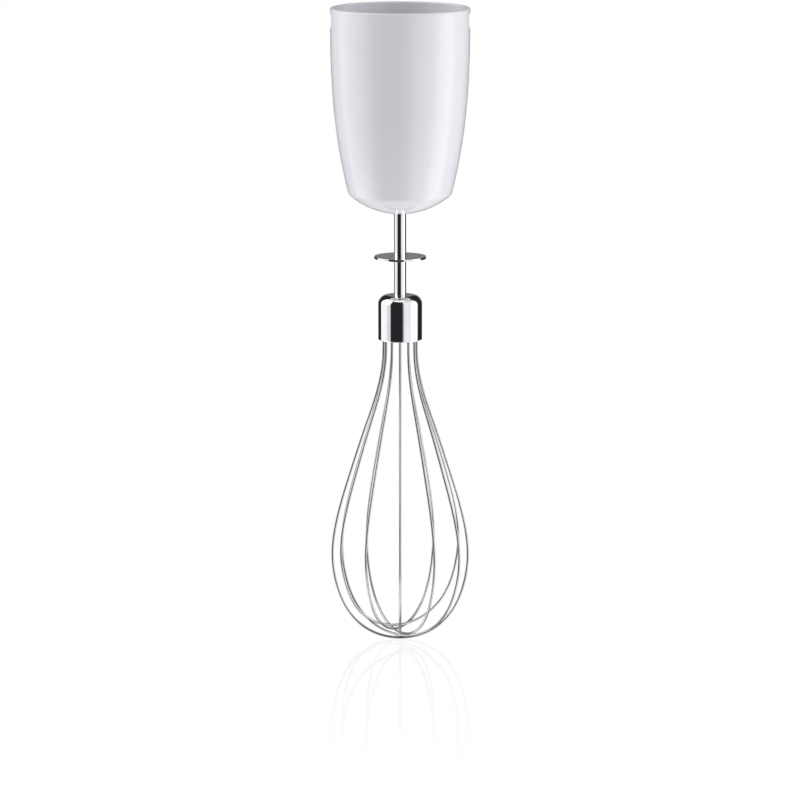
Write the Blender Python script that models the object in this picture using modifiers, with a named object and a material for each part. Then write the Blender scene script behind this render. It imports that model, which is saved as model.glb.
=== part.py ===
"""Whisk attachment of a hand-held immersion blender.

A white gear case has a socket in its top for the motor body. In it, a planetary gear set slows the motor's
drive coupling down to a hollow output spindle. A balloon whisk plugs into the spindle from below and pulls out.

Sizes are in millimetres and MM turns them into Blender's metres. +Z is up. The origin is the centre of the
socket's mouth and every turning axis but the planets' is Z, so the whole object hangs below z = 0.
"""

import math

import bmesh
import bpy
import numpy as np
from mathutils import Matrix, Vector

MM = 0.001

# Clearances
GAP = 0.3  # between pieces that sit face to face
FIT = 0.12  # radial, between a shaft and what it turns or slides in
PRESSED = 0.1  # radial, between a shaft and what is pressed on it
SEATED = 0.2  # between a part and the seat that holds it

# Gear case: its wall draws in from the rim by CASE_TAPER at CASE_TAPER_DEPTH, and a dome closes it
CASE_RIM_R = 28.8
CASE_TAPER = 7.1
CASE_TAPER_DEPTH = 75.4
CASE_TAPER_POWER = 2.7
CASE_WALL = 2.5
CASE_RIM_FILLET = 0.7
CASE_INNER_FILLET = 0.4
CASE_CORNER_FILLET = 2.0
DOME_R = 32.0
DOME_CENTRE_Z = -53.17
DOME_HOLE_R = 3.3
SPIGOT_R = 9.0  # ring on the dome's inside that centres the gearbox
SPIGOT_WALL = 1.5
SPIGOT_TOP = -77.5

# Latch windows in the socket's wall, one on each side
WINDOW_CENTRE_Z = -5.25
WINDOW_HEIGHT = 5.5
WINDOW_WIDTH = 11.0
WINDOW_CORNER_R = 2.6

# Gearbox cover, the floor of the socket
COVER_TOP = -38.0
COVER_BOTTOM = -40.4
COVER_R = 24.6
COVER_BOSS_R = 5.6
COVER_BOSS_BOTTOM = -45.0
O_RING_R = 24.2
O_RING_CORD_R = 0.5
O_RING_Z = -39.2
O_RING_SLACK = 0.15  # above and below the ring in its groove

# Screws that clamp the cover and the gearbox to bosses in the case
SCREW_COUNT = 3
SCREW_CIRCLE_R = 21.7
SCREW_R = 1.1
SCREW_HEAD_R = 2.0
SCREW_HEAD_HEIGHT = 1.5
SCREW_BOTTOM = -58.0
SCREW_HOLE_R = 1.3
PILOT_HOLE_R = 1.25
BOSS_CIRCLE_R = 22.1
BOSS_R = 2.2
BOSS_TOP = -47.8
BOSS_BOTTOM = -76.0

# Gearbox housing
HOUSING_R = 19.7
HOUSING_BORE_R = 18.4
HOUSING_TOP = -40.7
HOUSING_FLOOR = -63.6
HOUSING_BOTTOM = -65.6
HOUSING_LEDGE_R = 17.2
HOUSING_LEDGE_Z = -55.5
NOSE_R = 8.6
NOSE_BORE_R = 6.9
NOSE_BOTTOM = -80.8
NOSE_LIP_TOP = -80.0
NOSE_LIP_R = 5.5
EAR_CIRCLE_R = 21.4
EAR_R = 2.8
EAR_TOP = -40.9
EAR_BOTTOM = -47.5

# Planetary gears
MODULE = 0.6
SUN_TEETH = 12
PLANET_TEETH = 21
RING_TEETH = SUN_TEETH + 2 * PLANET_TEETH
PRESSURE_ANGLE = math.radians(20)
ADDENDUM = 0.8 * MODULE
DEDENDUM = 1.0 * MODULE
BACKLASH = 0.1
PLANET_CIRCLE_R = MODULE * (SUN_TEETH + PLANET_TEETH) / 2
PLANET_ANGLES = [math.radians(a) for a in (90, 210, 330)]
SUN_TOP, SUN_BOTTOM = -47.2, -54.6
PLANET_TOP, PLANET_BOTTOM = -47.0, -54.5
RING_TOP, RING_BOTTOM = -46.4, -55.2
RING_R = 18.1

# Input shaft, its bush and the coupling that the motor drives
INPUT_R = 2.0
INPUT_TOP = -30.3
INPUT_BOTTOM = -57.6
INPUT_BUSH_R = 3.9
CIRCLIP_TOP, CIRCLIP_BOTTOM = -45.5, -46.1
CIRCLIP_R = 3.3
CIRCLIP_SLACK = 0.15  # above and below the clip in its groove
CIRCLIP_GROOVE_DEPTH = 0.4
CIRCLIP_OPENING = math.radians(35)  # half of the gap between its ends
COUPLING_TOP = -27.5
COUPLING_FLANGE_TOP = -35.9
COUPLING_BOTTOM = -37.5
COUPLING_FLANGE_R = 6.5
COUPLING_MEAN_R = 4.2
COUPLING_LOBE = 0.7
COUPLING_LOBES = 6

# Planet carrier and output spindle
CARRIER_R = 14.0
CARRIER_TOP = -55.4
CARRIER_BOTTOM = -58.6
PIN_R = 1.5
PIN_HEAD_R = 2.4
PIN_HEAD_TOP, PIN_HEAD_BOTTOM = -45.9, -46.7
PIN_BOTTOM = -58.4
SPINDLE_R = 5.0
SPINDLE_JOURNAL_R = 4.0
SPINDLE_FLANGE_R = 8.0
SPINDLE_FLANGE_TOP, SPINDLE_FLANGE_BOTTOM = -58.9, -60.4
SPINDLE_TOP = -55.7
SPINDLE_BOTTOM = -81.6
SPINDLE_BORE_R = 2.75
SOCKET_TOP = -60.6
SOCKET_FLATS_BOTTOM = -71.2
SOCKET_HALF_FLAT = 2.15
CLIP_Z = -80.0
CLIP_R = 3.15
CLIP_WIRE_R = 0.5
CLIP_GROOVE_R = 3.9
CLIP_GROOVE_HALF = 0.7
CLIP_OPENING = math.radians(30)  # half of the gap between its ends
WASHER_R = 7.6
WASHER_TOP, WASHER_BOTTOM = -60.7, -61.7
BUSH_FLANGE_R = 7.4
BUSH_FLANGE_TOP, BUSH_FLANGE_BOTTOM = -62.0, -63.3
BUSH_BOTTOM = -76.9
SEAL_TOP, SEAL_BOTTOM = -77.2, -79.7

# Whisk
SHAFT_R = 2.5
SHAFT_TOP = -61.0
SHAFT_BOTTOM = -136.6
SHAFT_FLATS_BOTTOM = -71.8
SHAFT_HALF_FLAT = 2.0
SHAFT_DETENT_R = 2.2
DISC_R = 10.75
DISC_TOP, DISC_BOTTOM = -103.0, -103.9
FERRULE_R = 9.1
FERRULE_TOP, FERRULE_BOTTOM = -119.3, -138.0
FERRULE_WALL = 0.7
FERRULE_FILLET = 3.6
HUB_R = 8.1
HUB_TOP, HUB_BOTTOM = -121.2, -137.3
HUB_FILLET = 2.6
HUB_PIN_R = 0.8
HUB_PIN_HALF_LENGTH = 7.4
HUB_PIN_Z = -123.6
WIRE_R = 0.525
WIRE_HOLE_R = 0.85
WIRE_HOLE_TOP = -125.5
WIRE_TOP = -126.0
WIRE_CIRCLE_R = 6.85
LOOP_COUNT = 6
LOOP_PITCH = 1.13  # each loop crosses the axis this far above the one before it
# Centre line of the largest loop, from the ferrule's mouth to the axis: (radius, height)
LOOP_PROFILE = [
    (WIRE_CIRCLE_R, FERRULE_BOTTOM),
    (7.05, -146.5),
    (9.6, -160.2),
    (14.15, -174.0),
    (20.8, -194.4),
    (26.6, -215.0),
    (28.4, -228.7),
    (26.7, -242.5),
    (20.0, -256.4),
    (11.0, -263.3),
    (0.0, -265.6),
]

PARTS = "whisk_attachment"
CUTTERS = "cutters"

# Finishes: colour, roughness, metallic
FINISHES = {
    "white_gloss_plastic": ((0.86, 0.86, 0.88), 0.12, 0.0),
    "grey_plastic": ((0.42, 0.43, 0.45), 0.45, 0.0),
    "acetal": ((0.82, 0.81, 0.76), 0.35, 0.0),
    "black_plastic": ((0.03, 0.03, 0.03), 0.4, 0.0),
    "rubber": ((0.05, 0.05, 0.05), 0.7, 0.0),
    "bronze": ((0.62, 0.44, 0.25), 0.4, 1.0),
    "steel": ((0.55, 0.55, 0.56), 0.3, 1.0),
    "chrome": ((0.8, 0.8, 0.82), 0.06, 1.0),
}


def clear_scene():
    for obj in list(bpy.data.objects):
        bpy.data.objects.remove(obj, do_unlink=True)


def collection(name):
    made = bpy.data.collections.new(name)
    bpy.context.scene.collection.children.link(made)
    return made


def materials():
    made = {}
    for name, (colour, roughness, metallic) in FINISHES.items():
        material = bpy.data.materials.new(name)
        material.use_nodes = True
        shader = material.node_tree.nodes["Principled BSDF"]
        shader.inputs["Base Color"].default_value = (*colour, 1.0)
        shader.inputs["Roughness"].default_value = roughness
        shader.inputs["Metallic"].default_value = metallic
        made[name] = material
    return made


def add_object(name, data, finish=None):
    """A part with its finish, or, with no finish, a cutter that never shows."""
    obj = bpy.data.objects.new(name, data)
    if finish:
        data.materials.append(MATERIALS[finish])
        bpy.data.collections[PARTS].objects.link(obj)
    else:
        bpy.data.collections[CUTTERS].objects.link(obj)
        obj.hide_render = True
        obj.display_type = "WIRE"
    return obj


def rounded(corners, arc_step=math.radians(45)):
    """The profile through corners (radius, height), where a third number rounds its corner with that fillet."""
    points = []
    for index, corner in enumerate(corners):
        here = Vector(corner[:2])
        if len(corner) == 2:
            points.append(here)
            continue
        before = (Vector(corners[index - 1][:2]) - here).normalized()
        after = (Vector(corners[(index + 1) % len(corners)][:2]) - here).normalized()
        half = before.angle(after) / 2
        centre = here + (before + after).normalized() * (corner[2] / math.sin(half))
        start = here + before * (corner[2] / math.tan(half)) - centre
        end = here + after * (corner[2] / math.tan(half)) - centre
        turn = math.atan2(start.x * end.y - start.y * end.x, start.dot(end))
        steps = max(2, math.ceil(abs(turn) / arc_step))
        points += [centre + Matrix.Rotation(turn * k / steps, 2) @ start for k in range(steps + 1)]
    return points


def turned(name, corners, segments, finish=None, ring=True):
    """A solid turned about Z. A ring's profile closes on itself; any other starts and ends on the axis."""
    points = rounded(corners)
    mesh = bpy.data.meshes.new(name)
    edges = [(i, i + 1) for i in range(len(points) - 1)]
    if ring:
        edges.append((len(points) - 1, 0))
    mesh.from_pydata([(p.x * MM, 0, p.y * MM) for p in points], edges, [])
    obj = add_object(name, mesh, finish)
    screw = obj.modifiers.new("turn", "SCREW")
    screw.axis = "Z"
    screw.angle = 2 * math.pi
    screw.steps = screw.render_steps = segments
    screw.use_merge_vertices = True
    screw.merge_threshold = 1e-6
    return obj


def tube(name, outer_r, inner_r, top, bottom, segments, finish):
    corners = [(outer_r, top), (outer_r, bottom), (inner_r, bottom), (inner_r, top)]
    return turned(name, corners, segments, finish)


def cylinders(name, centres, radius, top, bottom, segments=16, finish=None):
    """Upright cylinders at centres, in one mesh."""
    mesh = bpy.data.meshes.new(name)
    shape = bmesh.new()
    for x, y in centres:
        place = Matrix.Translation((x * MM, y * MM, (top + bottom) / 2 * MM))
        bmesh.ops.create_cone(
            shape, cap_ends=True, segments=segments, radius1=radius * MM, radius2=radius * MM,
            depth=(top - bottom) * MM, matrix=place,
        )
    shape.to_mesh(mesh)
    shape.free()
    obj = add_object(name, mesh, finish)
    mesh.shade_smooth()
    mesh.set_sharp_from_angle(angle=math.radians(35))
    return obj


def boxes(name, centres, size, bevel=0.0, finish=None):
    """Blocks at centres, in one mesh, whose edges along X can be rounded."""
    mesh = bpy.data.meshes.new(name)
    shape = bmesh.new()
    for centre in centres:
        place = Matrix.Translation(Vector(centre) * MM) @ Matrix.Diagonal((*(Vector(size) * MM), 1))
        bmesh.ops.create_cube(shape, size=1, matrix=place)
    if bevel:
        along_x = [e for e in shape.edges if abs(e.verts[0].co.x - e.verts[1].co.x) > size[0] / 2 * MM]
        bmesh.ops.bevel(shape, geom=along_x, offset=bevel * MM, segments=4, affect="EDGES", profile=0.5)
    shape.to_mesh(mesh)
    shape.free()
    return add_object(name, mesh, finish)


def crosswise_cylinder(name, radius, half_length, z, finish=None):
    """A cylinder lying along X across the axis."""
    mesh = bpy.data.meshes.new(name)
    shape = bmesh.new()
    place = Matrix.Translation((0, 0, z * MM)) @ Matrix.Rotation(math.pi / 2, 4, "Y")
    bmesh.ops.create_cone(
        shape, cap_ends=True, segments=16, radius1=radius * MM, radius2=radius * MM,
        depth=2 * half_length * MM, matrix=place,
    )
    shape.to_mesh(mesh)
    shape.free()
    return add_object(name, mesh, finish)


def plate(name, outlines, top, bottom, finish=None):
    """A flat piece with upright sides: the first outline is its edge and any other is a hole in it."""
    curve = bpy.data.curves.new(name, "CURVE")
    curve.dimensions = "2D"
    curve.fill_mode = "BOTH"
    curve.extrude = (top - bottom) / 2 * MM
    for outline in outlines:
        spline = curve.splines.new("POLY")
        spline.points.add(len(outline) - 1)
        for point, (x, y) in zip(spline.points, outline):
            point.co = (x * MM, y * MM, 0, 1)
        spline.use_cyclic_u = True
    obj = add_object(name, curve, finish)
    obj.location.z = (top + bottom) / 2 * MM
    return obj


def wire(name, points, radius, finish):
    """A round wire with closed ends along points, in millimetres."""
    curve = bpy.data.curves.new(name, "CURVE")
    curve.dimensions = "3D"
    curve.bevel_depth = radius * MM
    curve.bevel_resolution = 1
    curve.use_fill_caps = True
    spline = curve.splines.new("POLY")
    spline.points.add(len(points) - 1)
    for point, place in zip(spline.points, points):
        point.co = (*(Vector(place) * MM), 1)
    return add_object(name, curve, finish)


def as_mesh(obj):
    """The curve object's solid as a mesh object in its place, with its caps joined to its sides."""
    graph = bpy.context.evaluated_depsgraph_get()
    mesh = bpy.data.meshes.new_from_object(obj.evaluated_get(graph))
    shape = bmesh.new()
    shape.from_mesh(mesh)
    bmesh.ops.remove_doubles(shape, verts=shape.verts, dist=1e-6)
    bmesh.ops.recalc_face_normals(shape, faces=shape.faces)
    shape.to_mesh(mesh)
    shape.free()
    name = obj.name
    place = obj.matrix_world.copy()
    homes = list(obj.users_collection)
    bpy.data.objects.remove(obj, do_unlink=True)
    made = bpy.data.objects.new(name, mesh)
    made.matrix_world = place
    for home in homes:
        home.objects.link(made)
    return made


def combine(obj, operation, other):
    """Adds a Boolean of obj with other: UNION, DIFFERENCE or INTERSECT."""
    boolean = obj.modifiers.new(other.name, "BOOLEAN")
    boolean.operation = operation
    boolean.object = other
    boolean.solver = "EXACT"


def on_circle(radius, angles):
    return [(radius * math.cos(a), radius * math.sin(a)) for a in angles]


def circle(radius, segments):
    return on_circle(radius, [2 * math.pi * k / segments for k in range(segments)])


def even_angles(count, first=0.0):
    return [first + 2 * math.pi * k / count for k in range(count)]


# Gear case


def case_radius(z):
    return CASE_RIM_R - CASE_TAPER * (-z / CASE_TAPER_DEPTH) ** CASE_TAPER_POWER


def dome_height(radius, inset=0.0):
    return DOME_CENTRE_Z - math.sqrt((DOME_R - inset) ** 2 - radius**2)


def case_corner(inset=0.0):
    """Where the wall meets the dome, on the surface that lies inset inside the outer one."""
    z = -CASE_TAPER_DEPTH
    for _ in range(20):
        z = dome_height(case_radius(z) - inset, inset)
    return case_radius(z) - inset, z


def case_wall(inset, steps):
    """Points down the wall, between the rim and the corner."""
    bottom = case_corner(inset)[1]
    heights = [bottom * (k / steps) ** 0.8 for k in range(1, steps)]
    return [(case_radius(z) - inset, z) for z in heights]


def case_dome(inset, from_r, to_r, steps):
    radii = [from_r + (to_r - from_r) * k / steps for k in range(steps + 1)]
    return [(r, dome_height(r, inset)) for r in radii]


def make_outer_case():
    corner_r = case_corner()[0]
    inner_corner_r = case_corner(CASE_WALL)[0]
    spigot_outer_r = SPIGOT_R + SPIGOT_WALL
    outside = [(CASE_RIM_R, 0, CASE_RIM_FILLET)] + case_wall(0, 6)
    outside += [(*case_corner(), CASE_CORNER_FILLET)]
    outside += case_dome(0, corner_r, DOME_HOLE_R, 3)[1:]
    inside = case_dome(CASE_WALL, DOME_HOLE_R, SPIGOT_R, 1)
    inside += [(SPIGOT_R, SPIGOT_TOP), (spigot_outer_r, SPIGOT_TOP)]
    inside += case_dome(CASE_WALL, spigot_outer_r, inner_corner_r, 1)
    inside += list(reversed(case_wall(CASE_WALL, 5)))
    inside += [(CASE_RIM_R - CASE_WALL, 0, CASE_INNER_FILLET)]
    case = turned("outer_case", outside + inside, 48, "white_gloss_plastic")

    # Screw bosses stand on the dome's inside and run into the wall as it draws in
    bosses = cylinders(
        "case_bosses", on_circle(BOSS_CIRCLE_R, even_angles(SCREW_COUNT)), BOSS_R, BOSS_TOP, BOSS_BOTTOM
    )
    inset = 0.3 * CASE_WALL
    envelope_corners = [(0, 0), (CASE_RIM_R - inset, 0)] + case_wall(inset, 6)
    envelope_corners += case_dome(inset, case_corner(inset)[0], 0, 3)
    envelope = turned("case_envelope", envelope_corners, 48, ring=False)
    combine(bosses, "INTERSECT", envelope)
    combine(case, "UNION", bosses)
    combine(case, "DIFFERENCE", screw_holes("case_pilot_holes", PILOT_HOLE_R, BOSS_TOP + 1, SCREW_BOTTOM - 2))

    window_size = (2 * CASE_RIM_R + 10, WINDOW_WIDTH, WINDOW_HEIGHT)
    window = boxes("case_windows", [(0, 0, WINDOW_CENTRE_Z)], window_size, WINDOW_CORNER_R)
    combine(case, "DIFFERENCE", window)
    return case


def screw_holes(name, radius, top, bottom):
    return cylinders(name, on_circle(SCREW_CIRCLE_R, even_angles(SCREW_COUNT)), radius, top, bottom, 12)


def make_gearbox_cover():
    groove_r = O_RING_R - O_RING_CORD_R - SEATED
    groove_top = O_RING_Z + O_RING_CORD_R + O_RING_SLACK
    groove_bottom = O_RING_Z - O_RING_CORD_R - O_RING_SLACK
    bore_r = INPUT_BUSH_R + SEATED
    skirt_outer_r = HOUSING_BORE_R - SEATED
    skirt_inner_r = MODULE * RING_TEETH / 2 + DEDENDUM + SEATED
    corners = [
        (COVER_R, COVER_TOP),
        (COVER_R, groove_top),
        (groove_r, groove_top),
        (groove_r, groove_bottom),
        (COVER_R, groove_bottom),
        (COVER_R, COVER_BOTTOM),
        (skirt_outer_r, COVER_BOTTOM),
        (skirt_outer_r, RING_TOP + GAP),
        (skirt_inner_r, RING_TOP + GAP),
        (skirt_inner_r, COVER_BOTTOM),
        (COVER_BOSS_R, COVER_BOTTOM),
        (COVER_BOSS_R, COVER_BOSS_BOTTOM),
        (bore_r, COVER_BOSS_BOTTOM),
        (bore_r, COVER_TOP),
    ]
    cover = turned("gearbox_cover", corners, 32, "grey_plastic")
    combine(cover, "DIFFERENCE", screw_holes("cover_screw_holes", SCREW_HOLE_R, COVER_TOP + 1, COVER_BOTTOM - 1))
    return cover


def make_gearbox_housing():
    corners = [
        (HOUSING_R, HOUSING_TOP),
        (HOUSING_R, HOUSING_BOTTOM),
        (NOSE_R, HOUSING_BOTTOM),
        (NOSE_R, NOSE_BOTTOM),
        (NOSE_LIP_R, NOSE_BOTTOM),
        (NOSE_LIP_R, NOSE_LIP_TOP),
        (NOSE_BORE_R, NOSE_LIP_TOP),
        (NOSE_BORE_R, HOUSING_FLOOR),
        (HOUSING_LEDGE_R, HOUSING_FLOOR),
        (HOUSING_LEDGE_R, HOUSING_LEDGE_Z),
        (HOUSING_BORE_R, HOUSING_LEDGE_Z),
        (HOUSING_BORE_R, HOUSING_TOP),
    ]
    housing = turned("gearbox_housing", corners, 32, "grey_plastic")
    ears = cylinders(
        "housing_ears", on_circle(EAR_CIRCLE_R, even_angles(SCREW_COUNT)), EAR_R, EAR_TOP, EAR_BOTTOM, 16
    )
    combine(housing, "UNION", ears)
    combine(housing, "DIFFERENCE", screw_holes("housing_screw_holes", SCREW_HOLE_R, EAR_TOP + 1, EAR_BOTTOM - 1))
    return housing


def make_o_ring():
    cord = [
        (O_RING_R + O_RING_CORD_R * math.cos(a), O_RING_Z - O_RING_CORD_R * math.sin(a))
        for a in even_angles(6)
    ]
    return turned("cover_o_ring", cord, 32, "rubber")


def make_cover_screws():
    head_bottom = COVER_TOP + SEATED
    head_top = head_bottom + SCREW_HEAD_HEIGHT
    corners = [
        (0, head_top),
        (SCREW_HEAD_R, head_top, 0.6),
        (SCREW_HEAD_R, head_bottom),
        (SCREW_R, head_bottom),
        (SCREW_R, SCREW_BOTTOM + 2 * SCREW_R),
        (0, SCREW_BOTTOM),
    ]
    recess = cross_recess("screw_recess", head_top, 1.0)
    screws = []
    for index, (x, y) in enumerate(on_circle(SCREW_CIRCLE_R, even_angles(SCREW_COUNT)), 1):
        screw = turned(f"cover_screw_{index}", corners, 14, "steel", ring=False)
        screw.location = (x * MM, y * MM, 0)
        cutter = add_object(f"screw_recess_{index}", recess)
        cutter.location = screw.location
        combine(screw, "DIFFERENCE", cutter)
        screws.append(screw)
    return screws


def cross_recess(name, top, depth):
    """A plus-shaped prism that cuts the driver's recess in a screw's head."""
    arm, half_width = 1.2, 0.3
    outline = []
    for quarter in range(4):
        turn = Matrix.Rotation(quarter * math.pi / 2, 2)
        outline += [turn @ Vector(p) for p in ((half_width, half_width), (half_width, arm), (-half_width, arm))]
    mesh = bpy.data.meshes.new(name)
    shape = bmesh.new()
    floor = shape.faces.new([shape.verts.new((x * MM, y * MM, (top - depth) * MM)) for x, y in outline])
    made = bmesh.ops.extrude_face_region(shape, geom=[floor])
    raised = [v for v in made["geom"] if isinstance(v, bmesh.types.BMVert)]
    bmesh.ops.translate(shape, vec=(0, 0, (depth + 1) * MM), verts=raised)
    bmesh.ops.recalc_face_normals(shape, faces=shape.faces)
    shape.to_mesh(mesh)
    shape.free()
    return mesh


# Gears


def involute(angle):
    return math.tan(angle) - angle


def toothed_outline(teeth, low_r, high_r, width, first=0.0, flank_points=3):
    """An outline of lobes between two radii with involute sides, each width wide on the pitch circle."""
    pitch_r = MODULE * teeth / 2
    base_r = pitch_r * math.cos(PRESSURE_ANGLE)
    at_pitch = width / (2 * pitch_r) + involute(PRESSURE_ANGLE)
    flank = []
    for k in range(flank_points):
        r = low_r + (high_r - low_r) * k / (flank_points - 1)
        flank.append((r, at_pitch - involute(math.acos(min(1.0, base_r / r)))))
    outline = []
    for middle in even_angles(teeth, first):
        sides = [(r, middle - half) for r, half in flank] + [(r, middle + half) for r, half in reversed(flank)]
        outline += [(r * math.cos(a), r * math.sin(a)) for r, a in sides]
    return outline


def gear_outline(teeth):
    pitch_r = MODULE * teeth / 2
    return toothed_outline(teeth, pitch_r - DEDENDUM, pitch_r + ADDENDUM, math.pi * MODULE / 2 - BACKLASH)


def planet_turn(angle):
    """How far a planet gear at that place on the carrier is turned to mesh with the sun gear at rest."""
    sun_teeth_passed = angle * SUN_TEETH / (2 * math.pi)
    return angle + math.pi + (sun_teeth_passed + 0.5) * 2 * math.pi / PLANET_TEETH


def make_ring_gear():
    pitch_r = MODULE * RING_TEETH / 2
    width = math.pi * MODULE / 2 + BACKLASH
    spaces = toothed_outline(
        RING_TEETH, pitch_r - ADDENDUM, pitch_r + DEDENDUM, width, first=math.pi / RING_TEETH, flank_points=2
    )
    return plate("ring_gear", [circle(RING_R, 36), spaces], RING_TOP, RING_BOTTOM, "acetal")


def make_sun_gear():
    outlines = [gear_outline(SUN_TEETH), circle(INPUT_R + PRESSED, 16)]
    return plate("sun_gear", outlines, SUN_TOP, SUN_BOTTOM, "steel")


def make_planet_gears():
    gears = []
    outlines = [gear_outline(PLANET_TEETH), circle(PIN_R + FIT, 16)]
    for index, angle in enumerate(PLANET_ANGLES, 1):
        gear = plate(f"planet_gear_{index}", outlines, PLANET_TOP, PLANET_BOTTOM, "acetal")
        x, y = on_circle(PLANET_CIRCLE_R, [angle])[0]
        gear.location = (x * MM, y * MM, gear.location.z)
        gear.rotation_euler.z = planet_turn(angle)
        gears.append(gear)
    return gears


# Input stage


def make_input_shaft():
    groove_r = INPUT_R - CIRCLIP_GROOVE_DEPTH
    corners = [
        (0, INPUT_TOP),
        (INPUT_R - 0.3, INPUT_TOP),
        (INPUT_R, INPUT_TOP - 0.3),
        (INPUT_R, CIRCLIP_TOP + CIRCLIP_SLACK),
        (groove_r, CIRCLIP_TOP + CIRCLIP_SLACK),
        (groove_r, CIRCLIP_BOTTOM - CIRCLIP_SLACK),
        (INPUT_R, CIRCLIP_BOTTOM - CIRCLIP_SLACK),
        (INPUT_R, INPUT_BOTTOM),
        (0, INPUT_BOTTOM),
    ]
    return turned("input_shaft", corners, 20, "steel", ring=False)


def make_input_circlip():
    """A flat open ring in the shaft's groove."""
    angles = np.linspace(CIRCLIP_OPENING, 2 * math.pi - CIRCLIP_OPENING, 17)
    inner_r = INPUT_R - CIRCLIP_GROOVE_DEPTH + CIRCLIP_SLACK
    outline = on_circle(CIRCLIP_R, angles) + on_circle(inner_r, reversed(angles))
    return plate("input_circlip", [outline], CIRCLIP_TOP, CIRCLIP_BOTTOM, "steel")


def make_drive_coupling():
    lobed = []
    for a in even_angles(8 * COUPLING_LOBES):
        r = COUPLING_MEAN_R + COUPLING_LOBE * math.cos(COUPLING_LOBES * a)
        lobed.append((r * math.cos(a), r * math.sin(a)))
    coupling = as_mesh(plate("drive_coupling", [lobed], COUPLING_TOP, COUPLING_BOTTOM + 0.2, "black_plastic"))
    flange_corners = [
        (0, COUPLING_FLANGE_TOP),
        (COUPLING_FLANGE_R, COUPLING_FLANGE_TOP, 0.4),
        (COUPLING_FLANGE_R, COUPLING_BOTTOM),
        (0, COUPLING_BOTTOM),
    ]
    flange = turned("coupling_flange", flange_corners, 32, ring=False)
    bore = cylinders("coupling_bore", [(0, 0)], INPUT_R + PRESSED, INPUT_TOP + GAP, COUPLING_BOTTOM - 1, 20)
    combine(coupling, "UNION", flange)
    combine(coupling, "DIFFERENCE", bore)
    return coupling


# Output stage


def make_planet_carrier():
    bore_r = SPINDLE_JOURNAL_R + PRESSED
    corners = [
        (CARRIER_R, CARRIER_TOP),
        (CARRIER_R, CARRIER_BOTTOM),
        (bore_r, CARRIER_BOTTOM),
        (bore_r, CARRIER_TOP),
    ]
    carrier = turned("planet_carrier", corners, 32, "steel")
    places = on_circle(PLANET_CIRCLE_R, PLANET_ANGLES)
    holes = cylinders("carrier_pin_holes", places, PIN_R + PRESSED, CARRIER_TOP + 1, CARRIER_BOTTOM - 1)
    combine(carrier, "DIFFERENCE", holes)
    return carrier


def make_planet_pins():
    corners = [
        (0, PIN_HEAD_TOP),
        (PIN_HEAD_R, PIN_HEAD_TOP),
        (PIN_HEAD_R, PIN_HEAD_BOTTOM),
        (PIN_R, PIN_HEAD_BOTTOM),
        (PIN_R, PIN_BOTTOM),
        (0, PIN_BOTTOM),
    ]
    pins = []
    for index, (x, y) in enumerate(on_circle(PLANET_CIRCLE_R, PLANET_ANGLES), 1):
        pin = turned(f"planet_pin_{index}", corners, 16, "steel", ring=False)
        pin.location = (x * MM, y * MM, 0)
        pins.append(pin)
    return pins


def make_output_spindle():
    pilot_r = INPUT_R + SEATED
    pilot_bottom = INPUT_BOTTOM - 0.5
    groove_top = CLIP_Z + CLIP_GROOVE_HALF
    groove_bottom = CLIP_Z - CLIP_GROOVE_HALF
    corners = [
        (0, pilot_bottom),
        (pilot_r, pilot_bottom),
        (pilot_r, SPINDLE_TOP),
        (SPINDLE_JOURNAL_R, SPINDLE_TOP),
        (SPINDLE_JOURNAL_R, SPINDLE_FLANGE_TOP),
        (SPINDLE_FLANGE_R, SPINDLE_FLANGE_TOP),
        (SPINDLE_FLANGE_R, SPINDLE_FLANGE_BOTTOM),
        (SPINDLE_R, SPINDLE_FLANGE_BOTTOM),
        (SPINDLE_R, SPINDLE_BOTTOM),
        (SPINDLE_BORE_R, SPINDLE_BOTTOM),
        (SPINDLE_BORE_R, groove_bottom),
        (CLIP_GROOVE_R, groove_bottom),
        (CLIP_GROOVE_R, groove_top),
        (SPINDLE_BORE_R, groove_top),
        (SPINDLE_BORE_R, SOCKET_FLATS_BOTTOM),
        (0, SOCKET_FLATS_BOTTOM),
    ]
    spindle = turned("output_spindle", corners, 24, "steel", ring=False)
    # Above the round bore, the socket has two flats that turn the whisk's shaft
    flats = cylinders("socket_flats", [(0, 0)], SPINDLE_BORE_R - 0.02, SOCKET_TOP, SOCKET_FLATS_BOTTOM - 1, 24)
    slab_size = (10, 2 * SOCKET_HALF_FLAT, 40)
    combine(flats, "INTERSECT", boxes("socket_slab", [(0, 0, SOCKET_TOP)], slab_size))
    combine(spindle, "DIFFERENCE", flats)
    return spindle


def make_retaining_clip():
    """An open ring of spring wire in the spindle's inner groove, around the whisk's shaft."""
    angles = np.linspace(CLIP_OPENING, 2 * math.pi - CLIP_OPENING, 21)
    points = [(x, y, CLIP_Z) for x, y in on_circle(CLIP_R, angles)]
    return wire("retaining_clip", points, CLIP_WIRE_R, "steel")


def make_output_bush():
    bore_r = SPINDLE_R + FIT
    body_r = NOSE_BORE_R - SEATED
    corners = [
        (BUSH_FLANGE_R, BUSH_FLANGE_TOP),
        (BUSH_FLANGE_R, BUSH_FLANGE_BOTTOM),
        (body_r, BUSH_FLANGE_BOTTOM),
        (body_r, BUSH_BOTTOM),
        (bore_r, BUSH_BOTTOM),
        (bore_r, BUSH_FLANGE_TOP),
    ]
    return turned("output_bush", corners, 24, "bronze")


def make_shaft_seal():
    """A rubber ring with a lip that narrows towards the spindle."""
    outer_r = NOSE_BORE_R - SEATED
    lip_r = SPINDLE_R + FIT
    corners = [
        (outer_r, SEAL_TOP),
        (outer_r, SEAL_BOTTOM),
        (lip_r, SEAL_BOTTOM),
        (lip_r, SEAL_BOTTOM + 0.5),
        (lip_r + 0.7, SEAL_TOP),
    ]
    return turned("shaft_seal", corners, 24, "rubber")


# Whisk


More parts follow.
